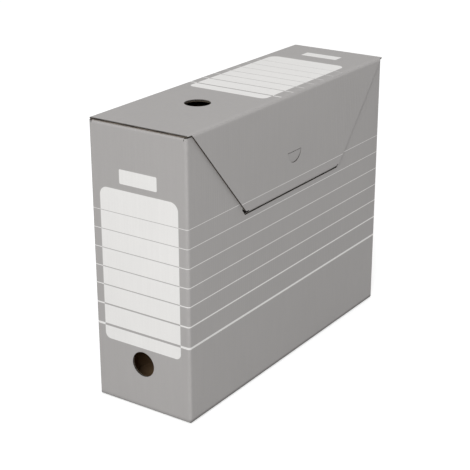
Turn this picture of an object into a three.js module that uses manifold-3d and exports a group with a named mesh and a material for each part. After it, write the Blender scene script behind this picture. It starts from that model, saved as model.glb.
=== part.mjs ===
// A box file for filed papers, folded and glued from one blank of printed fluted board.
// Millimetres. -Y is the spine, +X is the side with the closing flap, z = 0 is the floor.
// The box and its outer flap are centred on x = 0; the four walls alone are centred in wallFrame.
import * as THREE from 'three';
import { mergeVertices } from 'three/addons/utils/BufferGeometryUtils.js';
import Module from 'manifold-3d';

const wasm = await Module();
wasm.setup();

// Box: outside sizes over the four walls, and up to the top of the lid
const WIDTH = 103;
const DEPTH = 330;
const HEIGHT = 263.4;

// Board: thickness, inside radius of a crease and of the crushed creases at the slit
const BOARD = 1.8;
const CREASE = 0.8;
const TIGHT_CREASE = 0.6;

// Clearances: between pieces, under the lid, behind the closing flap
const GAP = 0.35;
const LID_LIFT = 0.4;
const FLAP_STANDOFF = 0.4;

// Half of the angle that is left open in a crease where a lid or flap turns, in degrees
const HINGE_RELIEF = 8;

// Lid: how far its raw edges stay behind the spine and back wall
const LID_INSET = 0.5;

// Finger holes: radius, and where they are on the middle line
const HOLE_RADIUS = 11.9;
const SPINE_HOLE_HEIGHT = 44.1;
const LID_HOLE_FROM_SPINE = 86.5;

// Dust flaps folded in under the lid, from the spine and the back wall
const DUST_LENGTH = 62;
const DUST_SIDE_GAP = 3.2;
const DUST_TAPER = 4;
const DUST_CORNER = 12;

// Slit in the side wall: how far below the lid, half its length, its leaning end cuts
const SLIT_DROP = 93.5;
const SLIT_HALF = 80.5;
const SLIT_LEG = 7;
const SLIT_LEAN = 5;
const SLIT_KERF = 0.6;

// Lip above the slit, pushed in by the tongue, in degrees
const LIP_BEND = 65;

// Closing flap: its ends at the lid crease, and how far its shoulders pass the slit
const FLAP_INSET = 4.7;
const SHOULDER_OVER = 1;

// Tongue: bend, play above the slit's edge, length behind the wall, end play, taper, corners
const TONGUE_BEND = 60;
const TONGUE_LIFT = 0.1;
const TONGUE_LENGTH = 14;
const TONGUE_PLAY = 3.5;
const TONGUE_TAPER = 8;
const TONGUE_CORNER = 7;

// Half-moon thumb tab: its crease below the lid, off the middle, half width, height, cut, rest tilt
const TAB_DROP = 54.4;
const TAB_OFFSET = -2.2;
const TAB_HALF = 11.2;
const TAB_HEIGHT = 10.6;
const TAB_KERF = 0.35;
const TAB_TILT = 5;

// Margin of the half-moon hole in the wall behind the tab
const WALL_HOLE_MARGIN = 1.2;

// Glued seam at the back left corner: tab width, glue line, setback of the raw edge
const SEAM_TAB = 30;
const SEAM_GLUE = 0.1;
const SEAM_SETBACK = 0.8;

// Crash-lock bottom: free edge of an end flap, cut between flaps, hook past the middle,
// glue wing and locking tongue
const END_FLAP_TIP = 13.4;
const BOTTOM_CUT = 0.6;
const HOOK = 6;
const WING_LENGTH = 64;
const WING_MARGIN = 4;
const WING_SETBACK = 1;
const WING_CORNER = 2;
const WING_TIP_CORNER = 6;
const LOCK_REACH = 22;
const LOCK_MARGIN = 18;
const LOCK_CORNER = 8;

// Smoothness: degrees of one facet of a crease and of a hole
const CREASE_STEP = 10;
const HOLE_STEP = 9;

// How deep one fold is let into the next where both belong to the same piece
const JOIN = 2;

// How far cutting bodies run past the board, outside it and into the box
const past = 5;
const deep = 10;

// Places worked out from the sizes
const radians = THREE.MathUtils.degToRad;
const fold = CREASE + BOARD;
const tightFold = TIGHT_CREASE + BOARD;
const left = -WIDTH / 2;
const right = WIDTH / 2;
const front = -DEPTH / 2;
const back = DEPTH / 2;
const flapFace = right + FLAP_STANDOFF + BOARD;
const lidUnderside = HEIGHT - BOARD;
const dustTop = lidUnderside - LID_LIFT;
const shoulder = dustTop - fold;
const slitHeight = HEIGHT - SLIT_DROP;
const slitTop = slitHeight + SLIT_LEG;
const tabCrease = HEIGHT - TAB_DROP;
const endFlapLength = (WIDTH - END_FLAP_TIP) / 2;

// Each side's part of a crease of 90 degrees that a hinge divides, in degrees
const halfCrease = 45 - HINGE_RELIEF;

// The tongue steps from the outside of the flap to just behind the wall
const stepIn = flapFace - (right - BOARD - GAP);
const bendRun = 1 - Math.cos(radians(TONGUE_BEND));
const stepRun = (stepIn - (tightFold + TIGHT_CREASE) * bendRun) / Math.sin(radians(TONGUE_BEND));
const stepDrop = (tightFold + TIGHT_CREASE) * Math.sin(radians(TONGUE_BEND))
  + stepRun * Math.cos(radians(TONGUE_BEND));
const tongueTop = slitHeight + TONGUE_LIFT + stepDrop;
const tongueTip = slitHeight - TONGUE_LENGTH;

// Outline of a strip of board seen on its edge. The path runs along the printed face and
// the board lies to its left. A step is a straight run, or a bend in degrees, positive to
// the left; inner is the inside radius of that bend.
function stripOutline(start, heading, steps) {
  const printed = [];
  const plain = [];
  let [u, v] = start;
  let angle = radians(heading);
  const mark = () => {
    printed.push([u, v]);
    plain.push([u - BOARD * Math.sin(angle), v + BOARD * Math.cos(angle)]);
  };
  mark();
  for (const { run = 0, bend = 0, inner = CREASE } of steps) {
    if (run) {
      u += run * Math.cos(angle);
      v += run * Math.sin(angle);
      mark();
    }
    if (bend) {
      const side = Math.sign(bend);
      const radius = side > 0 ? inner + BOARD : inner;
      const centre = [u - side * radius * Math.sin(angle), v + side * radius * Math.cos(angle)];
      const count = Math.ceil(Math.abs(bend) / CREASE_STEP);
      const first = angle;
      for (let i = 1; i <= count; i += 1) {
        angle = first + radians(bend) * i / count;
        u = centre[0] + side * radius * Math.sin(angle);
        v = centre[1] - side * radius * Math.cos(angle);
        mark();
      }
    }
  }
  return [...printed, ...plain.reverse()];
}

// Closed outline through corners [u, v, radius], each rounded by its radius
function filleted(corners) {
  const outline = [];
  corners.forEach(([u, v, radius = 0], i) => {
    if (!radius) {
      outline.push([u, v]);
      return;
    }
    const here = new THREE.Vector2(u, v);
    const before = new THREE.Vector2(...corners.at(i - 1)).sub(here).normalize();
    const after = new THREE.Vector2(...corners[(i + 1) % corners.length]).sub(here).normalize();
    const half = Math.acos(before.dot(after)) / 2;
    const centre = before.clone().add(after).normalize().multiplyScalar(radius / Math.sin(half));
    centre.add(here);
    const reach = radius / Math.tan(half);
    const enter = before.multiplyScalar(reach).add(here).sub(centre);
    const leave = after.multiplyScalar(reach).add(here).sub(centre);
    const turn = Math.atan2(enter.cross(leave), enter.dot(leave));
    const count = Math.ceil(Math.abs(turn) / radians(CREASE_STEP));
    for (let k = 0; k <= count; k += 1) {
      const point = enter.clone().rotateAround(new THREE.Vector2(), turn * k / count).add(centre);
      outline.push([point.x, point.y]);
    }
  });
  return outline;
}

// Round outline, for a finger hole
function circle(u, v, radius) {
  const count = Math.round(360 / HOLE_STEP);
  return Array.from({ length: count }, (_, i) => {
    const angle = radians(i * HOLE_STEP);
    return [u + radius * Math.cos(angle), v + radius * Math.sin(angle)];
  });
}

// Half-moon below a straight crease, grown by a margin; rise lifts its straight top
function halfMoon(margin, rise) {
  const radius = (TAB_HALF ** 2 + TAB_HEIGHT ** 2) / (2 * TAB_HEIGHT);
  const centre = tabCrease - TAB_HEIGHT + radius;
  const grown = radius + margin;
  const top = tabCrease + rise;
  const start = Math.asin((top - centre) / grown);
  const sweep = Math.PI + 2 * start;
  const count = Math.ceil(sweep / radians(HOLE_STEP));
  return Array.from({ length: count + 1 }, (_, i) => {
    const angle = start - sweep * i / count;
    return [TAB_OFFSET + grown * Math.cos(angle), centre + grown * Math.sin(angle)];
  });
}

// Rectangle, for trimming
function rectangle(u0, v0, u1, v1) {
  return [[u0, v0], [u1, v0], [u1, v1], [u0, v1]];
}

// Bases that carry an outline (u, v) and its depth to (x, z, -y), (y, z, x) and (x, y, z)
const axes = {
  y: [[1, 0, 0], [0, 0, 1], [0, -1, 0]],
  x: [[0, 1, 0], [0, 0, 1], [1, 0, 0]],
  z: [[1, 0, 0], [0, 1, 0], [0, 0, 1]],
};

// Outline run along an axis between two places
function prism(outline, along, from, to) {
  const shape = new THREE.Shape(outline.map(([u, v]) => new THREE.Vector2(u, v)));
  const geometry = new THREE.ExtrudeGeometry(shape, { depth: to - from, bevelEnabled: false });
  const basis = axes[along].map((axis) => new THREE.Vector3(...axis));
  geometry.applyMatrix4(new THREE.Matrix4().makeBasis(...basis));
  if (along === 'y') geometry.translate(0, to, 0);
  if (along === 'x') geometry.translate(from, 0, 0);
  if (along === 'z') geometry.translate(0, 0, from);
  return toSolid(geometry);
}

function toSolid(geometry) {
  geometry.deleteAttribute('normal');
  geometry.deleteAttribute('uv');
  const merged = mergeVertices(geometry, 1e-4);
  return new wasm.Manifold(new wasm.Mesh({
    numProp: 3,
    vertProperties: new Float32Array(merged.attributes.position.array),
    triVerts: new Uint32Array(merged.index.array),
  }));
}

function toGeometry(solid) {
  const mesh = solid.getMesh();
  const geometry = new THREE.BufferGeometry();
  geometry.setAttribute('position', new THREE.BufferAttribute(mesh.vertProperties, 3));
  geometry.setIndex(new THREE.BufferAttribute(mesh.triVerts, 1));
  geometry.computeVertexNormals();
  return geometry;
}

// The same solid turned half a turn about the box's upright middle line
function halfTurned(solid) {
  return toSolid(toGeometry(solid).rotateZ(Math.PI));
}

function joined(solids) {
  return solids.reduce((all, solid) => all.add(solid));
}

// Four walls folded from one strip, with the glue tab inside the left wall
function makeWalls() {
  const corner = 90;
  const plan = stripOutline([left, back - SEAM_SETBACK], 270, [
    { run: DEPTH - SEAM_SETBACK - fold, bend: corner },
    { run: WIDTH - 2 * fold, bend: corner },
    { run: DEPTH - 2 * fold, bend: corner },
    { run: WIDTH - 2 * fold - BOARD - SEAM_GLUE, bend: corner },
    { run: SEAM_TAB - fold },
  ]);
  const glueInside = left + BOARD;
  const glueFrom = back - SEAM_TAB + WING_MARGIN;
  const glue = rectangle(glueInside - SEAM_GLUE, glueFrom, glueInside + 2 * SEAM_GLUE, back - 2 * fold);
  return joined([
    prism(plan, 'z', fold, shoulder),
    prism(glue, 'z', fold, shoulder),
    prism(plan, 'z', shoulder - JOIN, HEIGHT - fold).intersect(makeSideStrips()),
    prism(plan, 'z', 0, fold + JOIN).intersect(makeBottomCorners()),
  ]);
}

// Room of the four bottom corners, rounded below as the folds that they stand between
function makeBottomCorners() {
  const room = ([start, end]) => filleted([[start, 0, fold], [end, 0, fold], [end, HEIGHT], [start, HEIGHT]]);
  const inner = rectangle(left - past, front + fold, right + past, back - fold);
  const cross = prism(inner, 'z', 0, HEIGHT)
    .add(prism(rectangle(left + fold, front - past, right - fold, back + past), 'z', 0, HEIGHT));
  return prism(room([left, right]), 'y', front - past, back + past)
    .intersect(prism(room([front, back]), 'x', left - past, right + past))
    .subtract(cross);
}

// Both side walls and the corner folds, which stand higher than the creases of the dust flaps
function makeSideStrips() {
  const strip = prism(rectangle(right - fold, 0, right + past, HEIGHT), 'y', front - past, back + past);
  const seam = prism(rectangle(left + BOARD, 0, right, HEIGHT), 'y', back - SEAM_TAB - past, back - fold);
  return strip.add(halfTurned(strip)).subtract(seam);
}

// Carton's half of the crease that the lid turns on
function makeHingeCrease() {
  const open = radians(180 - halfCrease);
  const start = [left + fold + fold * Math.cos(open), HEIGHT - fold + fold * Math.sin(open)];
  const outline = stripOutline(start, 270 - halfCrease, [
    { bend: halfCrease },
    { run: HEIGHT - fold - shoulder + JOIN },
  ]);
  return prism(outline, 'y', front + fold, back - fold);
}

// Dust flap at the spine, folded in under the lid
function makeDustFlap() {
  const outline = stripOutline([front + DUST_LENGTH, dustTop], 180, [
    { run: DUST_LENGTH - fold, bend: 90 },
    { run: JOIN },
  ]);
  const side = WIDTH / 2 - DUST_SIDE_GAP;
  const tip = front + DUST_LENGTH;
  const plan = filleted([
    [-side, front - past],
    [side, front - past],
    [side, front + fold],
    [side - DUST_TAPER, tip, DUST_CORNER],
    [-side + DUST_TAPER, tip, DUST_CORNER],
    [-side, front + fold],
  ]);
  return prism(outline, 'x', -side, side).intersect(prism(plan, 'z', 0, HEIGHT));
}

// End flap of the bottom, from the spine, with both sides cut at 45 degrees
function makeEndFlap() {
  const outline = stripOutline([front, fold + JOIN], 270, [
    { run: JOIN, bend: 90 },
    { run: endFlapLength - fold },
  ]);
  const plan = [
    [left, front - past],
    [right, front - past],
    [right, front],
    [END_FLAP_TIP / 2, front + endFlapLength],
    [-END_FLAP_TIP / 2, front + endFlapLength],
    [left, front],
  ];
  return prism(outline, 'x', left + fold, right - fold).intersect(prism(plan, 'z', 0, HEIGHT));
}

// Long bottom flap, from the left wall, hooked past the middle in its front half
function makeLongFlap() {
  const cut = BOTTOM_CUT / 2;
  const diagonal = BOTTOM_CUT * Math.SQRT1_2 * 2;
  const outline = stripOutline([left, fold + JOIN], 270, [
    { run: JOIN, bend: 90 },
    { run: WIDTH / 2 + HOOK },
  ]);
  const plan = [
    [left - past, front],
    [left, front + diagonal],
    [left + endFlapLength, front + endFlapLength + diagonal],
    [HOOK - cut, front + endFlapLength + diagonal],
    [HOOK - cut, -HOOK],
    [-HOOK - cut, HOOK],
    [-HOOK - cut, back - endFlapLength - diagonal],
    [left + endFlapLength - 2 * cut, back - endFlapLength - diagonal],
    [left, back - diagonal],
    [left - past, back],
  ];
  return prism(outline, 'y', front + fold, back - fold).intersect(prism(plan, 'z', 0, HEIGHT));
}

// Glue wing of the end flap, lying on the long flap along the diagonal
function makeGlueWing() {
  const reach = endFlapLength - WING_MARGIN;
  const plan = filleted([
    [left + WING_MARGIN, front + WING_MARGIN - WING_SETBACK],
    [left + reach, front + reach - WING_SETBACK],
    [left + reach, front + endFlapLength, WING_CORNER],
    [left + reach - WING_MARGIN * 3, front + WING_LENGTH, WING_TIP_CORNER],
    [left + WING_MARGIN, front + WING_LENGTH, WING_CORNER],
  ]);
  return plateOnBottom(plan);
}

// Locking tongue of the long flap, lying on the opposite flap in the front half
function makeLockTongue() {
  const nearEnd = front + endFlapLength + LOCK_MARGIN;
  const farEnd = -HOOK - LOCK_MARGIN;
  const plan = filleted([
    [HOOK - LOCK_MARGIN / 2, nearEnd],
    [HOOK + LOCK_REACH, nearEnd + LOCK_MARGIN, LOCK_CORNER],
    [HOOK + LOCK_REACH, farEnd - LOCK_MARGIN, LOCK_CORNER],
    [HOOK - LOCK_MARGIN / 2, farEnd],
  ]);
  return plateOnBottom(plan);
}

// Plate of board glued on the inside of the bottom flaps
function plateOnBottom(plan) {
  const bite = 0.05;
  return prism(plan, 'z', BOARD - bite, 2 * BOARD - bite);
}

// Slit with its leaning end cuts, as an opening in the side wall; inset makes it shorter at both ends
function slitOutline(inset) {
  const low = SLIT_HALF - inset;
  const high = SLIT_HALF + SLIT_LEAN - inset;
  return [[-low, slitHeight], [low, slitHeight], [high, slitTop], [-high, slitTop]];
}

// Lip above the slit, bent in about its crease at the top of the end cuts
function makeLip() {
  const bend = radians(LIP_BEND);
  const run = SLIT_LEG - tightFold * bend;
  const start = [
    right - tightFold * (1 - Math.cos(bend)) - run * Math.sin(bend),
    slitTop - tightFold * Math.sin(bend) - run * Math.cos(bend),
  ];
  const outline = stripOutline(start, 90 - LIP_BEND, [
    { run, bend: LIP_BEND, inner: TIGHT_CREASE },
    { run: JOIN },
  ]);
  const reach = SLIT_HALF + SLIT_LEAN;
  const wedge = [
    ...slitOutline(SLIT_KERF).slice(0, 2),
    [reach - SLIT_KERF, slitTop],
    [reach - SLIT_KERF, slitTop + past],
    [-reach + SLIT_KERF, slitTop + past],
    [-reach + SLIT_KERF, slitTop],
  ];
  return prism(outline, 'y', -reach, reach).intersect(prism(wedge, 'x', right - deep, right + past));
}

function makeCarton() {
  const folded = joined([
    makeWalls(),
    makeHingeCrease(),
    makeDustFlap(),
    halfTurned(makeDustFlap()),
    makeEndFlap(),
    halfTurned(makeEndFlap()),
    makeLongFlap(),
    halfTurned(makeLongFlap()),
    makeGlueWing(),
    halfTurned(makeGlueWing()),
    makeLockTongue(),
    halfTurned(makeLockTongue()),
  ]);
  const spineHole = circle(0, SPINE_HOLE_HEIGHT, HOLE_RADIUS);
  const wallHole = halfMoon(WALL_HOLE_MARGIN, WALL_HOLE_MARGIN);
  return folded
    .subtract(prism(spineHole, 'y', front - past, front + past))
    .subtract(prism(slitOutline(0), 'x', right - fold, right + past))
    .subtract(prism(wallHole, 'x', right - fold, right + past))
    .add(makeLip());
}

// Lid: half a crease at the hinge, the top panel, half a crease at the closing flap
function makeLid() {
  const open = radians(90 - halfCrease);
  const start = [flapFace - fold + fold * Math.cos(open), HEIGHT - fold + fold * Math.sin(open)];
  const outline = stripOutline(start, 180 - halfCrease, [
    { bend: halfCrease },
    { run: flapFace - left - 2 * fold, bend: halfCrease },
  ]);
  const hole = circle(0, front + LID_HOLE_FROM_SPINE, HOLE_RADIUS);
  return prism(outline, 'y', front + LID_INSET, back - LID_INSET)
    .subtract(prism(hole, 'z', dustTop, HEIGHT + past));
}

// Closing flap: half a crease, the panel, and the tongue that steps in through the slit
function makeClosingFlap() {
  const tongueRun = slitHeight + TONGUE_LIFT - tongueTip;
  const outline = stripOutline([flapFace - stepIn, tongueTip], 90, [
    { run: tongueRun, bend: -TONGUE_BEND, inner: TIGHT_CREASE },
    { run: stepRun, bend: TONGUE_BEND, inner: TIGHT_CREASE },
    { run: HEIGHT - fold - tongueTop, bend: halfCrease },
  ]);
  const top = DEPTH / 2 - FLAP_INSET;
  const shoulderHalf = SLIT_HALF + SHOULDER_OVER;
  const tongueHalf = SLIT_HALF - TONGUE_PLAY;
  const tipHalf = tongueHalf - TONGUE_TAPER;
  const side = [
    [tipHalf, tongueTip, TONGUE_CORNER],
    [tongueHalf, slitHeight],
    [tongueHalf, tongueTop, 1],
    [shoulderHalf, tongueTop, 1],
    [top, HEIGHT],
  ];
  const mirrored = side.map(([y, z, radius]) => [-y, z, radius]).reverse();
  const panel = filleted([...side, ...mirrored]);
  const cut = halfMoon(TAB_KERF, GAP / 2);
  return prism(outline, 'y', -top, top)
    .intersect(prism(panel, 'x', right - deep, flapFace + past))
    .subtract(prism(cut, 'x', right, flapFace + past));
}

// Half-moon tab, flush in the flap; the crease it turns on is the y axis of its own group
function makeThumbTab() {
  const moon = halfMoon(0, -GAP / 2);
  const inFlap = prism(moon, 'x', flapFace - BOARD, flapFace);
  return toGeometry(inFlap).translate(BOARD - flapFace, 0, -tabCrease);
}

const board = (color) => new THREE.MeshStandardMaterial({ color, roughness: 0.75, metalness: 0 });

function piece(name, geometry, color) {
  const mesh = new THREE.Mesh(geometry, board(color));
  mesh.name = name;
  return mesh;
}

const wallFrame = new THREE.Group();
wallFrame.position.x = -(FLAP_STANDOFF + BOARD) / 2;
wallFrame.add(piece('carton', toGeometry(makeCarton()), 0xa9a7a5));
wallFrame.add(piece('lid', toGeometry(makeLid()), 0xb0aeac));
wallFrame.add(piece('closing_flap', toGeometry(makeClosingFlap()), 0xa6a4a2));

const tabPivot = new THREE.Group();
tabPivot.position.set(flapFace - BOARD, 0, tabCrease);
tabPivot.rotation.y = radians(TAB_TILT);
tabPivot.add(piece('thumb_tab', makeThumbTab(), 0x9f9d9b));
wallFrame.add(tabPivot);

const boxFile = new THREE.Group();
boxFile.add(wallFrame);
export default boxFile;
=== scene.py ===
"""Looks of a grey printed box file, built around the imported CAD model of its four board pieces.

Metres. -Y is the spine, +X the side with the closing flap, z = 0 the floor. The four walls
run from the left face at X_LEFT to the right face at X_RIGHT, and the flap lies outside them.
"""

import math

import bmesh
import bpy
from mathutils import Matrix, Vector
from mathutils.bvhtree import BVHTree


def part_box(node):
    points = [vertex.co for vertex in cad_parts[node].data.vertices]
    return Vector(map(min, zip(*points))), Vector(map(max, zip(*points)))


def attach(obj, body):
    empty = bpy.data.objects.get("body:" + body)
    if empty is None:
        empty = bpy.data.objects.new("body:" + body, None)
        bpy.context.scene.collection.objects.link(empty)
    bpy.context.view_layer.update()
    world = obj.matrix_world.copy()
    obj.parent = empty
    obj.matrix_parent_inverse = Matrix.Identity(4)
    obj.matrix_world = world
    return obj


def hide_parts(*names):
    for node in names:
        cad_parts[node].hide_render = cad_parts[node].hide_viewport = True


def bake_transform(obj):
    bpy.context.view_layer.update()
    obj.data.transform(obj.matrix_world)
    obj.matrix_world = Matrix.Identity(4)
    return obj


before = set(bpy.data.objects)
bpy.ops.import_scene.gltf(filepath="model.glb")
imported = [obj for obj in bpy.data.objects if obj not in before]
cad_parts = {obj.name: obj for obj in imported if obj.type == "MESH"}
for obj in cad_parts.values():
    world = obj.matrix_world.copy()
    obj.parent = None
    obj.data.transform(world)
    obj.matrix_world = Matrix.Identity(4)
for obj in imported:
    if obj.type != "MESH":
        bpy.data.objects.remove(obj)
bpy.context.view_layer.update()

MM = 0.001

# Frame: the outside of the box and of its walls, from the CAD pieces
CARTON_LOW, CARTON_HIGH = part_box("carton")
FLAP_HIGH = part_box("closing_flap")[1]
LID_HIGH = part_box("lid")[1]
X_LEFT, X_RIGHT = CARTON_LOW.x, CARTON_HIGH.x
Y_FRONT, Y_BACK = CARTON_LOW.y, CARTON_HIGH.y
X_MIDDLE = (X_LEFT + X_RIGHT) / 2
FLAP_FACE = FLAP_HIGH.x
TOP = LID_HIGH.z

# Board: its thickness, the outer radius of its folds, and the air between lid and dust flaps
BOARD = 1.8 * MM
FOLD = 2.6 * MM
LID_AIR = 0.4 * MM
DUST_TOP = TOP - BOARD - LID_AIR

# Fluting: pitch of the wave between the liners, and the thickness of a liner
FLUTE_PITCH = 3.3 * MM
LINER = 0.2 * MM

# Ruled lines: height above the floor and thickness, in millimetres
RULES = [
    (182.2, 0.45), (164.8, 0.55), (147.1, 0.65), (129.4, 0.75),
    (112.0, 0.9), (93.3, 1.35), (73.2, 2.1),
]
LINE_BLUR = 0.12 * MM

# Label and plain field of the spine: across from the left face, up from the floor
LABEL_LEFT, LABEL_RIGHT = 9.6 * MM, 93.2 * MM
LABEL_LOW, LABEL_HIGH = 59.8 * MM, 203.9 * MM
LABEL_CORNER, LABEL_LOW_CORNER = 8.0 * MM, 5.5 * MM
FIELD_LEFT, FIELD_RIGHT = 31.5 * MM, 71.5 * MM
FIELD_LOW, FIELD_HIGH = 209.5 * MM, 222.5 * MM
FIELD_CORNER = 1.2 * MM
FIELD_BLUR = 0.15 * MM

# Both are printed only on what lies this near the spine's outer face
SPINE_PRINT_DEPTH = 1.0 * MM

# The lid has the spine's print again, this much further along, with weaker lines that end early
LID_PRINT_SHIFT = 70.2 * MM
LID_FIELD_SHIFT = 83.0 * MM
LID_RULES_END = 102.3 * MM
LID_RULES_FADE = 1.0 * MM
LID_RULES_INK = 0.9

# Paper over fluting: how much the clouds, the fibres and the washboard show, and the relief
PRINT_FINISH = {"Cloud": 0.05, "Fibre": 0.05, "Washboard": 1.0}
PRINT_RELIEF = 0.12 * MM
KRAFT_FINISH = {"Cloud": 0.10, "Fibre": 0.16, "Washboard": 1.6}
KRAFT_RELIEF = 0.16 * MM
KRAFT_FLECKS = 0.55
WASHBOARD_TONE = 0.003
PAPER_ROUGHNESS, FIBRE_ROUGHNESS = 0.66, 0.14
SWELL_HEIGHT, FIBRE_HEIGHT, CLOUD_HEIGHT = 0.5, 0.35, 0.5
PAPER_BUMP = 0.35
PAPER_SPECULAR = 0.35

# Spine and back are the faces whose normal points this much along Y. Across their flutes is X
END_WALL = 0.7

# Noise patterns of the paper and of its cut edges. Streaks are the fibres drawn out upright
CLOUD_NOISE = {"Scale": 22.0, "Detail": 4.0, "Roughness": 0.6}
FIBRE_NOISE = {"Scale": 900.0, "Detail": 3.0, "Roughness": 0.7}
STREAK_NOISE = {"Scale": 260.0, "Detail": 2.0}
STREAK_STRETCH = (1, 1, 0.08)
PATCH_NOISE = {"Scale": 160.0, "Detail": 3.0}
FLECK_NOISE = {"Scale": 420.0, "Detail": 6.0, "Roughness": 0.75}
FRAY_NOISE = {"Scale": 700.0, "Detail": 4.0, "Roughness": 0.7}

# Ink is stretched and a little paler on the folds, in patches; the paleness is partly a painted
# highlight along the rounded creases
STRETCH_AND_HIGHLIGHT_REACH = FOLD * 1.1
STRETCH_AND_HIGHLIGHT_BLUR = 2.0 * MM
STRETCH_AND_HIGHLIGHT_TONE = 0.05
PATCH_LEVEL, PATCH_BLUR = 0.45, 0.5

# Painted shade on the creases that the box stands on, for the fold turning under and its contact shadow:
# everywhere, and more of it on the long sides
BOTTOM_SHADE_HEIGHT = 3.0 * MM
BOTTOM_SHADE_AMOUNT, BOTTOM_SHADE_ON_SIDES = 0.35, 0.6

# A die-cut edge is crushed from the printed side, and shows print down to this depth
CRUSHED = 0.55 * MM
CRUSH_BLUR = 0.2 * MM

# Cut edge: half the thickness of the wave's paper, soft edges, fray and relief
WAVE_HALF = LINER * 0.45
WAVE_BLUR = 0.12 * MM
LINER_BLUR = 0.15 * MM
CUT_ROUGHNESS, FRAY_ROUGHNESS = 0.8, 0.12
FRAY_HEIGHT = 0.3
CUT_BUMP = 0.8
CUT_RELIEF = 0.4 * MM

# A cut along the flutes opens one as a channel, in which the wave wanders this much more slowly
OPEN_FLUTE = 0.1

# Colours, linear
GREY_INK = (0.396, 0.383, 0.376, 1)
WHITE_LINER = (0.81, 0.80, 0.785, 1)
# Painted shade for the creases that the box stands on
BOTTOM_SHADE_COLOR = (0.10, 0.095, 0.09, 1)
KRAFT = (0.37, 0.235, 0.13, 1)
KRAFT_DARK = (0.24, 0.145, 0.075, 1)
CUT_KRAFT = (0.31, 0.26, 0.20, 1)
CUT_SHADE = (0.17, 0.13, 0.09, 1)
CRUSHED_PRINT = (0.20, 0.19, 0.18, 1)
# Painted shade inside the open flutes of a cut edge, nearly black
CUT_FLUTE_SHADE = (0.008, 0.006, 0.005, 1)
PURE_WHITE = (1, 1, 1, 1)

# Corners of the CAD's triangles nearer than this are one corner, and a ray that measures the
# board starts this far behind a face
WELD = 0.001 * MM

# Edges that turn less than this belong to a fold's round
SMOOTH_LIMIT = math.radians(22)

# Behind a liner's face the board ends within this depth, and behind a cut edge it goes on
THROUGH_BOARD = 1.25 * BOARD

# Two boards lie on each other in the bottom and at the seam. Their liners lie within this depth
GLUED = 2.2 * BOARD

# The lip above the slit is pushed in, and its printed side lies less than this far in
LIP_REACH = 2.2 * FOLD

# Depth of the spine's and the back's printed face, with the outer part of their folds
END_FACE = 0.6 * FOLD

# How much of a face's normal lies along a direction: nearly all, half, a lean, hardly any
SQUARELY, BY_HALF, LEANING, BARELY = 0.9, 0.5, 0.3, 0.1

# A cut lies along the flutes where its own way agrees with theirs by this much
ALONG_FLUTES = 0.95

# Reach past a board's two faces within which a cut edge still counts as that board's
SLACK = 0.05 * MM

# The right wall's top dips by less than this at its back end. Levelled corners nearer than
# the second value become one
WALL_DIP = 2.5 * MM
LEVEL_WELD = 0.01 * MM

# Creases that turn: the angle left open on each side of the hinge, how many times as wide the
# crease's own piece is, how deep it is let into the boards, and its ends' inset on the flap
HINGE_RELIEF = math.radians(8)
CREASE_LAP = 1.15
CREASE_STEPS = 10
CREASE_SKIN = 0.02 * MM
FLAP_CREASE_INSET = 0.2 * MM

# Floor: how much of the light that falls on it goes back up to the box, how far it is whitened
# for the camera, and how far in from the walls it isn't, so that no gap in the bottom shines
FLOOR_BOUNCE = (0.45, 0.45, 0.45, 1)
FLOOR_SEEN = (0.86, 0.86, 0.86, 1)
FLOOR_GLOW = 0.40
UNDER_BOX = 4.0 * MM
FLOOR_HALF = 6.0
FLOOR_DROP = 0.2 * MM
FLOOR_ROUGHNESS = 0.9

# Studio light: even world light, a large soft key from above the spine, a low fill from the
# front. Each lamp has its direction, its size and its power
WORLD_LEVEL = 0.62
LAMP_DISTANCE = 4.4
LAMPS = [
    ("key", Vector((0.15, -0.68, 0.72)), 3.2, 24.0),
    ("fill", Vector((0.40, -0.77, 0.50)), 1.2, 84.0),
]

# Camera, as the photograph's: its place, its turn in degrees, lens and sensor in millimetres,
# and how far it sees
CAMERA_AT = Vector((0.6255, -0.9393, 0.55515))
CAMERA_YAW, CAMERA_PITCH, CAMERA_ROLL = 34.297, 21.352, -0.101
CAMERA_LENS, CAMERA_SENSOR = 96.03, 36
CAMERA_REACH = 50


def add_object(name, data):
    """A new object in the scene."""
    added = bpy.data.objects.new(name, data)
    bpy.context.scene.collection.objects.link(added)
    return added


class Nodes:
    """Short way to write a node tree: each call makes a node and links its inputs."""

    def __init__(self, tree):
        self.tree = tree

    def add(self, kind, values=None, **settings):
        node = self.tree.nodes.new(kind)
        for key, value in settings.items():
            setattr(node, key, value)
        for socket, value in (values or {}).items():
            self.put(node.inputs[socket], value)
        return node

    def put(self, socket, value):
        if isinstance(value, bpy.types.NodeSocket):
            self.tree.links.new(value, socket)
        else:
            socket.default_value = value

    def place(self):
        """Object coordinates, which are the frame's own."""
        return self.add("ShaderNodeTexCoord").outputs["Object"]

    def split(self, vector):
        """X, Y and Z of a vector."""
        return self.add("ShaderNodeSeparateXYZ", {"Vector": vector}).outputs

    def noise(self, vector, pattern):
        return self.add("ShaderNodeTexNoise", {"Vector": vector, **pattern}).outputs["Fac"]

    def math(self, operation, *values, clamp=False):
        node = self.add("ShaderNodeMath", dict(enumerate(values)), operation=operation, use_clamp=clamp)
        return node.outputs[0]

    def rest(self, value):
        """What is left of 1."""
        return self.math("SUBTRACT", 1.0, value)

    def soft_step(self, value, edge, width):
        """0 below the edge and 1 above it, with a soft change of the given width."""
        past = self.math("SUBTRACT", value, edge)
        return self.math("ADD", self.math("DIVIDE", past, width), 0.5, clamp=True)

    def mix_values(self, factor, a, b):
        """a where the factor is 0, b where it is 1."""
        return self.add("ShaderNodeMix", {0: factor, 2: a, 3: b}).outputs[0]

    def mix_colors(self, factor, a, b):
        """a where the factor is 0, b where it is 1."""
        return self.add("ShaderNodeMix", {0: factor, 6: a, 7: b}, data_type="RGBA").outputs[2]


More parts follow.
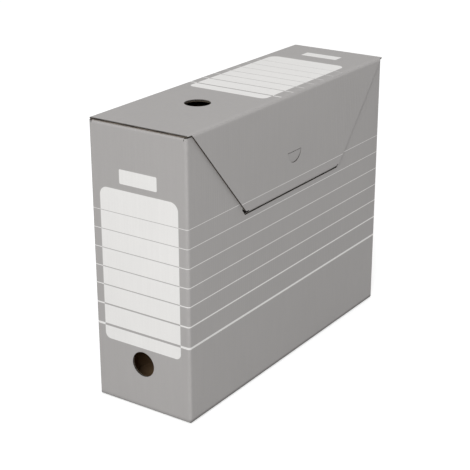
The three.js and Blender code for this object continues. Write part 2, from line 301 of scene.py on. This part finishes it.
def new_group(name, inputs, outputs):
    """An empty node group: its tree, a writer for it, what it is given and what it puts out."""
    tree = bpy.data.node_groups.new(name, "ShaderNodeTree")
    for label, kind, default in inputs:
        socket = tree.interface.new_socket(label, in_out="INPUT", socket_type=kind)
        socket.default_value = default
    for label, kind in outputs:
        tree.interface.new_socket(label, in_out="OUTPUT", socket_type=kind)
    n = Nodes(tree)
    given = n.add("NodeGroupInput").outputs
    result = n.add("NodeGroupOutput").inputs
    return tree, n, given, result


def make_rules_group():
    """Mask of the seven ruled lines along one coordinate."""
    inputs = [("Along", "NodeSocketFloat", 0.0)]
    tree, n, given, result = new_group("ruled_lines", inputs, [("Mask", "NodeSocketFloat")])
    mask = 0.0
    for height, thickness in RULES:
        distance = n.math("ABSOLUTE", n.math("SUBTRACT", given["Along"], height * MM))
        line = n.rest(n.soft_step(distance, thickness * MM / 2, LINE_BLUR))
        mask = n.math("MAXIMUM", mask, line)
    n.put(result["Mask"], mask)
    return tree


def make_field_group():
    """Mask of a rectangle with rounded corners, from its low and high sides. The corners on
    its low V side have a radius of their own."""
    labels = ["U", "V", "U low", "U high", "V low", "V high", "Corner", "Low corner"]
    inputs = [(label, "NodeSocketFloat", 0.0) for label in labels]
    tree, n, given, result = new_group("rounded_field", inputs, [("Mask", "NodeSocketFloat")])
    middle = n.math("DIVIDE", n.math("ADD", given["V low"], given["V high"]), 2.0)
    above = n.math("GREATER_THAN", given["V"], middle)
    corner = n.mix_values(above, given["Low corner"], given["Corner"])
    squares = []
    for axis in ("U", "V"):
        low, high = given[axis + " low"], given[axis + " high"]
        middle = n.math("DIVIDE", n.math("ADD", low, high), 2.0)
        half = n.math("DIVIDE", n.math("SUBTRACT", high, low), 2.0)
        off = n.math("ABSOLUTE", n.math("SUBTRACT", given[axis], middle))
        past = n.math("SUBTRACT", off, n.math("SUBTRACT", half, corner))
        squares.append(n.math("POWER", n.math("MAXIMUM", past, 0.0), 2.0))
    length = n.math("SQRT", n.math("ADD", *squares))
    n.put(result["Mask"], n.rest(n.soft_step(length, corner, FIELD_BLUR)))
    return tree


def make_paper_group():
    """Tone variation and height of paper over fluting: cloudy ink, fibres, faint washboard."""
    inputs = [
        ("Color", "NodeSocketColor", GREY_INK),
        ("Cloud", "NodeSocketFloat", PRINT_FINISH["Cloud"]),
        ("Fibre", "NodeSocketFloat", PRINT_FINISH["Fibre"]),
        ("Washboard", "NodeSocketFloat", PRINT_FINISH["Washboard"]),
    ]
    outputs = [
        ("Color", "NodeSocketColor"),
        ("Roughness", "NodeSocketFloat"),
        ("Height", "NodeSocketFloat"),
    ]
    tree, n, given, result = new_group("paper_over_fluting", inputs, outputs)
    place = n.place()
    point = n.split(place)
    facing = n.split(n.add("ShaderNodeNewGeometry").outputs["True Normal"])
    on_end = n.math("GREATER_THAN", n.math("ABSOLUTE", facing["Y"]), END_WALL)
    along = n.mix_values(on_end, point["Y"], point["X"])
    wave = n.math("SINE", n.math("MULTIPLY", along, 2 * math.pi / FLUTE_PITCH))

    cloud = n.noise(place, CLOUD_NOISE)
    fibre = n.noise(place, FIBRE_NOISE)
    drawn_out = n.add("ShaderNodeMapping", {"Vector": place, "Scale": STREAK_STRETCH}).outputs[0]
    streak = n.noise(drawn_out, STREAK_NOISE)

    drift = n.math("MULTIPLY", n.math("SUBTRACT", cloud, 0.5), given["Cloud"])
    grain = n.math("MULTIPLY", n.math("SUBTRACT", fibre, 0.5), given["Fibre"])
    stripe = n.math("MULTIPLY", n.math("SUBTRACT", streak, 0.5), given["Fibre"])
    ripple = n.math("MULTIPLY", wave, n.math("MULTIPLY", given["Washboard"], WASHBOARD_TONE))
    change = n.math("ADD", n.math("ADD", drift, grain), n.math("ADD", stripe, ripple))
    gain = n.math("ADD", 1.0, change)
    tint = n.add("ShaderNodeVectorMath", {0: given["Color"], 3: gain}, operation="SCALE")
    n.put(result["Color"], tint.outputs[0])

    dry = n.math("MULTIPLY", fibre, FIBRE_ROUGHNESS)
    n.put(result["Roughness"], n.math("ADD", PAPER_ROUGHNESS, dry))

    swell = n.math("MULTIPLY", n.math("MULTIPLY", wave, SWELL_HEIGHT), given["Washboard"])
    fibre_rise = n.math("MULTIPLY", fibre, FIBRE_HEIGHT)
    cloud_rise = n.math("MULTIPLY", cloud, CLOUD_HEIGHT)
    n.put(result["Height"], n.math("ADD", swell, n.math("ADD", fibre_rise, cloud_rise)))
    return tree


def make_crease_group():
    """Mask of the rounded creases, where the ink is stretched and a little paler, partly as a painted
    highlight along the round.
    """
    tree, n, _, result = new_group("stretched_and_highlit_creases", [], [("Mask", "NodeSocketFloat")])
    place = n.place()
    point = n.split(place)

    def near_high(value, face):
        return n.soft_step(value, face - STRETCH_AND_HIGHLIGHT_REACH, STRETCH_AND_HIGHLIGHT_BLUR)

    def near_low(value, face):
        return near_high(n.math("MULTIPLY", value, -1.0), -face)

    side = n.math("MAXIMUM", near_low(point["X"], X_LEFT), near_high(point["X"], X_RIGHT))
    end = near_high(n.math("ABSOLUTE", point["Y"]), Y_BACK)
    level = n.math("MAXIMUM", near_low(point["Z"], 0.0), near_high(point["Z"], TOP))
    upright_crease = n.math("MULTIPLY", side, end)
    level_crease = n.math("MULTIPLY", n.math("MAXIMUM", side, end), level)
    crease = n.math("MAXIMUM", upright_crease, level_crease)
    patches = n.soft_step(n.noise(place, PATCH_NOISE), PATCH_LEVEL, PATCH_BLUR)
    n.put(result["Mask"], n.math("MULTIPLY", crease, patches))
    return tree


GROUPS = {
    "rules": make_rules_group(),
    "field": make_field_group(),
    "paper": make_paper_group(),
    "creases": make_crease_group(),
}


def place_group(n, name, values=None):
    """Places a shared effect in a material, with the material's own values."""
    return n.add("ShaderNodeGroup", values, node_tree=GROUPS[name]).outputs


def start_material(name):
    """A new material, a writer for its tree, and its shader."""
    material = bpy.data.materials.new(name)
    material.use_nodes = True
    shader = material.node_tree.nodes["Principled BSDF"]
    return material, Nodes(material.node_tree), shader


def finish_paper(n, shader, color, finish, relief):
    """Lays paper over fluting on a plain or printed colour."""
    shader.inputs["Specular IOR Level"].default_value = PAPER_SPECULAR
    paper = place_group(n, "paper", {"Color": color, **finish})
    n.put(shader.inputs["Base Color"], paper["Color"])
    n.put(shader.inputs["Roughness"], paper["Roughness"])
    rise = {"Strength": PAPER_BUMP, "Distance": relief, "Height": paper["Height"]}
    n.put(shader.inputs["Normal"], n.add("ShaderNodeBump", rise).outputs[0])


def finish_print(n, shader, white):
    """Grey ink on the white liner, paler on the creases (stretched ink, partly a painted highlight) and
    darker where the box stands (painted shade). The white mask keeps the liner bare."""
    # Paler on the creases: stretched ink, and partly a painted highlight along the round
    stretched_and_highlit = place_group(n, "creases")["Mask"]
    ink = n.mix_colors(n.math("MULTIPLY", stretched_and_highlit, STRETCH_AND_HIGHLIGHT_TONE), GREY_INK, WHITE_LINER)
    # Painted shade: darker near the floor and more on the sides, for the fold turning under and its
    # contact shadow
    height = n.split(n.place())["Z"]
    low = n.rest(n.soft_step(height, BOTTOM_SHADE_HEIGHT, BOTTOM_SHADE_HEIGHT))
    facing = n.split(n.add("ShaderNodeNewGeometry").outputs["Normal"])
    sideways = n.math("ABSOLUTE", facing["X"])
    amount = n.math("ADD", BOTTOM_SHADE_AMOUNT, n.math("MULTIPLY", sideways, BOTTOM_SHADE_ON_SIDES))
    shaded_low = n.mix_colors(n.math("MULTIPLY", low, amount), ink, BOTTOM_SHADE_COLOR)
    color = n.mix_colors(white, shaded_low, WHITE_LINER)
    finish_paper(n, shader, color, PRINT_FINISH, PRINT_RELIEF)


def white_fields(n, across, along, field_along):
    """Mask of the label and of the plain field above it."""
    label = place_group(n, "field", {
        "U": across,
        "U low": LABEL_LEFT,
        "U high": LABEL_RIGHT,
        "V": along,
        "V low": LABEL_LOW,
        "V high": LABEL_HIGH,
        "Corner": LABEL_CORNER,
        "Low corner": LABEL_LOW_CORNER,
    })["Mask"]
    field = place_group(n, "field", {
        "U": across,
        "U low": FIELD_LEFT,
        "U high": FIELD_RIGHT,
        "V": field_along,
        "V low": FIELD_LOW,
        "V high": FIELD_HIGH,
        "Corner": FIELD_CORNER,
        "Low corner": FIELD_CORNER,
    })["Mask"]
    return n.math("MAXIMUM", label, field)


def exclusive(n, a, b):
    """a or b but not both: a ruled line shows white on the ink and grey on the white label."""
    both = n.math("MULTIPLY", a, b)
    return n.math("SUBTRACT", n.math("ADD", a, b), n.math("MULTIPLY", both, 2.0), clamp=True)


def make_wall_print():
    """Print of the walls: ruled lines all round, and on the spine a label and a plain field."""
    material, n, shader = start_material("grey_printed_walls")
    point = n.split(n.place())
    rules = place_group(n, "rules", {"Along": point["Z"]})["Mask"]
    across = n.math("SUBTRACT", point["X"], X_LEFT)
    on_spine = n.math("LESS_THAN", point["Y"], Y_FRONT + SPINE_PRINT_DEPTH)
    fields = n.math("MULTIPLY", white_fields(n, across, point["Z"], point["Z"]), on_spine)
    finish_print(n, shader, exclusive(n, rules, fields))
    return material


def make_lid_print():
    """Print of the lid: the spine's label and lines again, laid along the lid."""
    material, n, shader = start_material("grey_printed_lid")
    point = n.split(n.place())
    from_spine = n.math("SUBTRACT", point["Y"], Y_FRONT)
    along = n.math("SUBTRACT", from_spine, LID_PRINT_SHIFT)
    field_along = n.math("SUBTRACT", from_spine, LID_FIELD_SHIFT)
    across = n.math("SUBTRACT", point["X"], X_LEFT)
    rules = place_group(n, "rules", {"Along": along})["Mask"]
    fields = white_fields(n, across, along, field_along)
    white = exclusive(n, rules, fields)
    before_end = n.rest(n.soft_step(across, LID_RULES_END, LID_RULES_FADE))
    weak = n.math("MULTIPLY", white, n.math("MULTIPLY", before_end, LID_RULES_INK))
    strong = n.math("MULTIPLY", white, fields)
    finish_print(n, shader, n.math("MAXIMUM", weak, strong))
    return material


def make_flap_print():
    """Print of the closing flap and its thumb tab: the ruled lines alone."""
    material, n, shader = start_material("grey_printed_flap")
    rules = place_group(n, "rules", {"Along": n.split(n.place())["Z"]})["Mask"]
    finish_print(n, shader, rules)
    return material


def make_kraft():
    """Brown inside liner."""
    material, n, shader = start_material("brown_kraft_liner")
    flecks = n.math("MULTIPLY", n.noise(n.place(), FLECK_NOISE), KRAFT_FLECKS)
    flecked = n.mix_colors(flecks, KRAFT, KRAFT_DARK)
    finish_paper(n, shader, flecked, KRAFT_FINISH, KRAFT_RELIEF)
    return material


def make_cut_edge():
    """Raw edge of the board: two liners with the wave of the fluting between them, and the hollow flutes
    painted nearly black as shade. The UV map gives the way across the flutes and the depth below the
    printed face, in metres."""
    material, n, shader = start_material("cut_board_edge")
    shader.inputs["Specular IOR Level"].default_value = PAPER_SPECULAR
    uv = n.split(n.add("ShaderNodeUVMap", uv_map="board").outputs[0])
    wave = n.math("SINE", n.math("MULTIPLY", uv["X"], 2 * math.pi / FLUTE_PITCH))
    swing = (BOARD - 3 * LINER) / 2
    wave_depth = n.math("ADD", BOARD / 2, n.math("MULTIPLY", wave, swing))
    off_wave = n.math("ABSOLUTE", n.math("SUBTRACT", uv["Y"], wave_depth))
    on_wave = n.rest(n.soft_step(off_wave, WAVE_HALF, WAVE_BLUR))
    off_middle = n.math("ABSOLUTE", n.math("SUBTRACT", uv["Y"], BOARD / 2))
    on_liner = n.soft_step(off_middle, BOARD / 2 - LINER, LINER_BLUR)
    paper = n.math("MAXIMUM", on_wave, on_liner)
    fray = n.noise(n.place(), FRAY_NOISE)
    raw = n.mix_colors(paper, CUT_FLUTE_SHADE, n.mix_colors(fray, CUT_KRAFT, CUT_SHADE))
    below_print = n.soft_step(uv["Y"], CRUSHED, CRUSH_BLUR)
    n.put(shader.inputs["Base Color"], n.mix_colors(below_print, CRUSHED_PRINT, raw))
    rough = n.math("MULTIPLY", fray, FRAY_ROUGHNESS)
    n.put(shader.inputs["Roughness"], n.math("ADD", CUT_ROUGHNESS, rough))
    height = n.math("ADD", paper, n.math("MULTIPLY", fray, FRAY_HEIGHT))
    rise = {"Strength": CUT_BUMP, "Distance": CUT_RELIEF, "Height": height}
    n.put(shader.inputs["Normal"], n.add("ShaderNodeBump", rise).outputs[0])
    return material


WALL_PRINT = make_wall_print()
LID_PRINT = make_lid_print()
FLAP_PRINT = make_flap_print()
KRAFT_LINER = make_kraft()
CUT_EDGE = make_cut_edge()

# Places of the three materials on every board piece
PRINTED, INSIDE, CUT = 0, 1, 2


def add_board_materials(data, printed):
    """Gives a mesh its three materials."""
    for material in (printed, KRAFT_LINER, CUT_EDGE):
        data.materials.append(material)


def smooth_folds(shape):
    """Shades the folds round and keeps the board's edges sharp."""
    for face in shape.faces:
        face.smooth = True
    for edge in shape.edges:
        if len(edge.link_faces) == 2:
            edge.smooth = edge.calc_face_angle() < SMOOTH_LIMIT


def board_panels():
    """The flat panels: outward normal of the printed face, its place along that normal, the
    direction of the flutes, and the direction across them."""
    x, y, z = Vector((1, 0, 0)), Vector((0, 1, 0)), Vector((0, 0, 1))
    return [
        (-x, -X_LEFT, z, y),
        (x, X_RIGHT, z, y),
        (-y, -Y_FRONT, z, x),
        (y, Y_BACK, z, x),
        (-z, 0.0, x, y),
        (-z, -BOARD, x, y),
        (z, DUST_TOP, y, x),
        (z, TOP, x, y),
        (x, FLAP_FACE, z, y),
    ]


def merged_copy(node, name):
    """A copy of a CAD node with its triangles joined at their corners."""
    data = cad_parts[node].data.copy()
    data.name = name
    data.materials.clear()
    shape = bmesh.new()
    shape.from_mesh(data)
    bmesh.ops.remove_doubles(shape, verts=shape.verts, dist=WELD)
    bmesh.ops.dissolve_degenerate(shape, edges=shape.edges, dist=WELD)
    shape.to_mesh(data)
    shape.free()
    return add_object(name, data)


def level_wall_top(piece):
    """Runs the top of the right wall level as far as its back end, where the CAD wall dips."""
    shape = bmesh.new()
    shape.from_mesh(piece.data)
    level = TOP - FOLD
    for vertex in shape.verts:
        x, y, z = vertex.co
        in_wall = x > X_RIGHT - BOARD - SLACK and 0 < y < Y_BACK - FOLD + SLACK
        if in_wall and level - WALL_DIP < z < level - SLACK:
            vertex.co.z = level
    bmesh.ops.remove_doubles(shape, verts=shape.verts, dist=LEVEL_WELD)
    bmesh.ops.dissolve_degenerate(shape, edges=shape.edges, dist=LEVEL_WELD)
    shape.to_mesh(piece.data)
    shape.free()


def board_depths(shape):
    """For each face, how far the board goes on behind it."""
    tree = BVHTree.FromBMesh(shape)
    depths = []
    for face in shape.faces:
        start = face.calc_center_median() - face.normal * WELD
        distance = tree.ray_cast(start, -face.normal)[3]
        depths.append(math.inf if distance is None else distance)
    return depths


def is_liner(centre, normal, depth):
    """Faces of the board itself, and not its cut edges."""
    in_bottom = centre.z < GLUED and abs(normal.z) > SQUARELY
    on_seam = centre.x < X_LEFT + GLUED and centre.z < DUST_TOP - FOLD and normal.x > SQUARELY
    return in_bottom or on_seam or depth < THROUGH_BOARD


def cut_on_carton(centre, normal):
    """Ends of the corner folds, beside the creases of the dust flaps."""
    in_corner = abs(centre.y) > Y_BACK - FOLD and centre.z > DUST_TOP - FOLD
    return in_corner and normal.x * math.copysign(1, centre.x) < -SQUARELY


def cut_on_flap(centre, normal):
    """Ends of the boards that turn, and their ends in the creases."""
    outward = math.copysign(1, centre.x)
    in_crease = centre.z > TOP - 2 * FOLD and normal.x * normal.z * outward < -LEANING
    return abs(normal.y) > BY_HALF or in_crease


def printed_on_carton(centre, normal):
    """Outside of the walls, tops of the dust flaps, underside of the bottom."""
    if centre.z < FOLD and normal.z < -LEANING:
        return True
    if centre.z > DUST_TOP - FOLD and normal.z > LEANING:
        return True
    faces_out_x = (centre.x - X_MIDDLE) * normal.x
    faces_out_y = centre.y * normal.y
    if abs(centre.y) > Y_BACK - FOLD and abs(normal.y) > BARELY:
        on_face = abs(centre.y) > Y_BACK - END_FACE
        return faces_out_y > 0 and (on_face or faces_out_x >= 0)
    if centre.x < X_LEFT + FOLD or centre.x > X_RIGHT - LIP_REACH:
        return faces_out_x > 0
    return False


def printed_on_lid(centre, normal):
    """The lid's upper side."""
    return normal.z > 0


def printed_on_flap(centre, normal):
    """The outer side of the closing flap and of its tab."""
    return normal.x > 0


def map_cut_edges(shape):
    """Gives each cut edge its UV map: the way across the flutes and the depth in its board."""
    layer = shape.loops.layers.uv.new("board")
    for face in shape.faces:
        for loop in face.loops:
            loop[layer].uv = (loop.vert.co.y, BOARD / 2)
        for normal, place, flutes, across in board_panels():
            depths = [place - vertex.co.dot(normal) for vertex in face.verts]
            within = min(depths) > -SLACK and max(depths) < BOARD + SLACK
            if not within or abs(face.normal.dot(normal)) > LEANING:
                continue
            channel = abs(normal.cross(face.normal).dot(flutes)) > ALONG_FLUTES
            along = flutes * OPEN_FLUTE if channel else across
            for loop in face.loops:
                loop[layer].uv = (loop.vert.co.dot(along), place - loop.vert.co.dot(normal))
            break


def dress(piece, printed, is_printed, is_cut):
    """Gives each face of a board piece its printed liner, its inside liner or its cut edge."""
    shape = bmesh.new()
    shape.from_mesh(piece.data)
    map_cut_edges(shape)
    for face, depth in zip(shape.faces, board_depths(shape)):
        centre = face.calc_center_median()
        if not is_liner(centre, face.normal, depth) or is_cut(centre, face.normal):
            face.material_index = CUT
        elif is_printed(centre, face.normal):
            face.material_index = PRINTED
        else:
            face.material_index = INSIDE
    smooth_folds(shape)
    shape.to_mesh(piece.data)
    shape.free()
    add_board_materials(piece.data, printed)


def make_boards():
    """The four board pieces, each in the place of its CAD node."""
    for node, name, printed, is_printed, is_cut in (
        ("carton", "carton_board", WALL_PRINT, printed_on_carton, cut_on_carton),
        ("lid", "lid_board", LID_PRINT, printed_on_lid, cut_on_flap),
        ("closing_flap", "closing_flap_board", FLAP_PRINT, printed_on_flap, cut_on_flap),
        ("thumb_tab", "thumb_tab_board", FLAP_PRINT, printed_on_flap, cut_on_flap),
    ):
        piece = merged_copy(node, name)
        if node == "carton":
            level_wall_top(piece)
        dress(piece, printed, is_printed, is_cut)
        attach(piece, node)
        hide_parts(node)


def crease_section(side, centre):
    """Cross-section of a crease, its outer and its inner points, from one board to the other.
    The left crease has side 1 and the right one -1."""
    outer, inner = [], []
    middle = math.radians(90 + 45 * side)
    for i in range(CREASE_STEPS + 1):
        angle = middle + HINGE_RELIEF * CREASE_LAP * (1 - 2 * i / CREASE_STEPS)
        direction = Vector((math.cos(angle), 0, math.sin(angle)))
        outer.append(centre + direction * (FOLD - CREASE_SKIN))
        inner.append(centre + direction * (FOLD - BOARD + CREASE_SKIN))
    return outer, inner


def crease_piece(name, outer, inner, half_length):
    """Closed strip of board with the given cross-section, dressed as the boards are."""
    shape = bmesh.new()
    rows = []
    for y in (-half_length, half_length):
        rows.append([shape.verts.new((point.x, y, point.z)) for point in outer + inner[::-1]])
    count = len(rows[0])
    for i in range(count):
        j = (i + 1) % count
        shape.faces.new((rows[0][i], rows[0][j], rows[1][j], rows[1][i]))
    shape.faces.new(rows[0])
    shape.faces.new(rows[1][::-1])
    bmesh.ops.recalc_face_normals(shape, faces=shape.faces)
    layer = shape.loops.layers.uv.new("board")
    outside = set(rows[0][:CREASE_STEPS + 1] + rows[1][:CREASE_STEPS + 1])
    for index, face in enumerate(shape.faces):
        if index < CREASE_STEPS:
            face.material_index = PRINTED
        elif CREASE_STEPS < index < 2 * CREASE_STEPS + 1:
            face.material_index = INSIDE
        else:
            face.material_index = CUT
        for loop in face.loops:
            depth = 0.0 if loop.vert in outside else BOARD
            loop[layer].uv = (FLUTE_PITCH / 4, depth)
    smooth_folds(shape)
    data = bpy.data.meshes.new(name)
    shape.to_mesh(data)
    shape.free()
    add_board_materials(data, LID_PRINT)
    return add_object(name, data)


def make_creases():
    """The creases that the lid and the closing flap turn on."""
    for name, bodies, side, face_x, half_length in (
        ("lid_crease", ("carton", "lid"), 1, X_LEFT, LID_HIGH.y - FOLD),
        ("closing_flap_crease", ("lid", "closing_flap"), -1, FLAP_FACE, FLAP_HIGH.y - FLAP_CREASE_INSET),
    ):
        centre = Vector((face_x + side * FOLD, 0, TOP - FOLD))
        outer, inner = crease_section(side, centre)
        piece = crease_piece(name, outer, inner, half_length)
        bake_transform(piece)


def seen_by_camera(n):
    """1 for what the camera or a mirror sees, and 0 for light on its way."""
    path = n.add("ShaderNodeLightPath").outputs
    return n.math("MAXIMUM", path["Is Camera Ray"], path["Is Glossy Ray"])


def make_floor():
    """White floor, which glows for the camera everywhere but under the box."""
    material, n, shader = start_material("white_floor")
    shader.inputs["Roughness"].default_value = FLOOR_ROUGHNESS
    shader.inputs["Specular IOR Level"].default_value = 0.0
    shader.inputs["Emission Color"].default_value = PURE_WHITE
    seen = seen_by_camera(n)
    n.put(shader.inputs["Base Color"], n.mix_colors(seen, FLOOR_BOUNCE, FLOOR_SEEN))
    point = n.split(n.place())
    off_x = n.math("ABSOLUTE", n.math("SUBTRACT", point["X"], X_MIDDLE))
    off_y = n.math("ABSOLUTE", point["Y"])
    past_side = n.math("GREATER_THAN", off_x, (X_RIGHT - X_LEFT) / 2 - UNDER_BOX)
    past_end = n.math("GREATER_THAN", off_y, Y_BACK - UNDER_BOX)
    beside_box = n.math("MAXIMUM", past_side, past_end)
    glow = n.math("MULTIPLY", n.math("MULTIPLY", seen, beside_box), FLOOR_GLOW)
    n.put(shader.inputs["Emission Strength"], glow)

    low, high = -FLOOR_HALF, FLOOR_HALF
    corners = [(low, low, 0), (high, low, 0), (high, high, 0), (low, high, 0)]
    data = bpy.data.meshes.new("floor")
    data.from_pydata(corners, [], [(0, 1, 2, 3)])
    data.materials.append(material)
    floor = add_object("floor", data)
    floor.location.z = -FLOOR_DROP


def make_light():
    """Even world light and the lamps."""
    world = bpy.data.worlds.new("studio")
    bpy.context.scene.world = world
    world.use_nodes = True
    n = Nodes(world.node_tree)
    background = world.node_tree.nodes["Background"]
    background.inputs["Color"].default_value = PURE_WHITE
    strength = n.mix_values(seen_by_camera(n), WORLD_LEVEL, 1.0)
    n.put(background.inputs["Strength"], strength)
    for name, direction, size, power in LAMPS:
        data = bpy.data.lights.new(name, "AREA")
        data.size = size
        data.energy = power
        lamp = add_object(name, data)
        lamp.location = direction.normalized() * LAMP_DISTANCE + Vector((0, 0, TOP / 2))
        lamp.rotation_euler = (-direction).to_track_quat("-Z", "Y").to_euler()


def make_camera():
    """Camera at the photograph's place, turned by yaw, then pitch, then roll."""
    yaw, pitch, roll = (math.radians(a) for a in (CAMERA_YAW, CAMERA_PITCH, CAMERA_ROLL))
    ahead = Vector((-math.sin(yaw), math.cos(yaw), 0))
    forward = ahead * math.cos(pitch) - Vector((0, 0, math.sin(pitch)))
    level = Vector((math.cos(yaw), math.sin(yaw), 0))
    upward = level.cross(forward)
    right = math.cos(roll) * level + math.sin(roll) * upward
    up = math.cos(roll) * upward - math.sin(roll) * level
    data = bpy.data.cameras.new("camera")
    data.sensor_width = CAMERA_SENSOR
    data.lens = CAMERA_LENS
    data.clip_end = CAMERA_REACH
    camera = add_object("camera", data)
    camera.matrix_world = Matrix((
        (right.x, up.x, -forward.x, CAMERA_AT.x),
        (right.y, up.y, -forward.y, CAMERA_AT.y),
        (right.z, up.z, -forward.z, CAMERA_AT.z),
        (0, 0, 0, 1),
    ))
    bpy.context.scene.camera = camera


make_boards()
make_creases()
make_floor()
make_light()
make_camera()
bpy.context.scene.view_settings.view_transform = "Standard"
